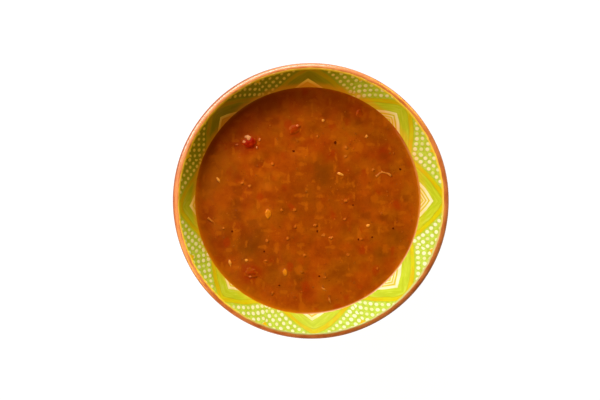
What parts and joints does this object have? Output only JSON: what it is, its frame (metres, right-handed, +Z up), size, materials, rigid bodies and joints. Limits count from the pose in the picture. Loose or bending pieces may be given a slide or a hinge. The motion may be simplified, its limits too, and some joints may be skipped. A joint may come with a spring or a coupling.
{
  "type": "bowl of harira soup",
  "caption": "Round footed earthenware bowl filled to below its rim with thick tomato and lentil soup, with tomato chunks, lentils, rice and herb flakes at the surface.",
  "frame": {"origin": "middle of the foot ring's resting face", "axes": "+Z up through the bowl's mouth, +X to the right and +Y to the top of the picture"},
  "size_m": [0.16, 0.16, 0.065],
  "materials": {
    "earthenware": "bare fired clay outside and on the lip, painted glaze inside",
    "soup": "thick, opaque, moist",
    "tomato": "soft, moist"
  },
  "bodies": {
    "root": {"bowl": "earthenware", "soup": "soup", "tomato_1": "tomato", "tomato_2": "tomato", "tomato_3": "tomato", "tomato_4": "tomato"}
  },
  "joints": []
}
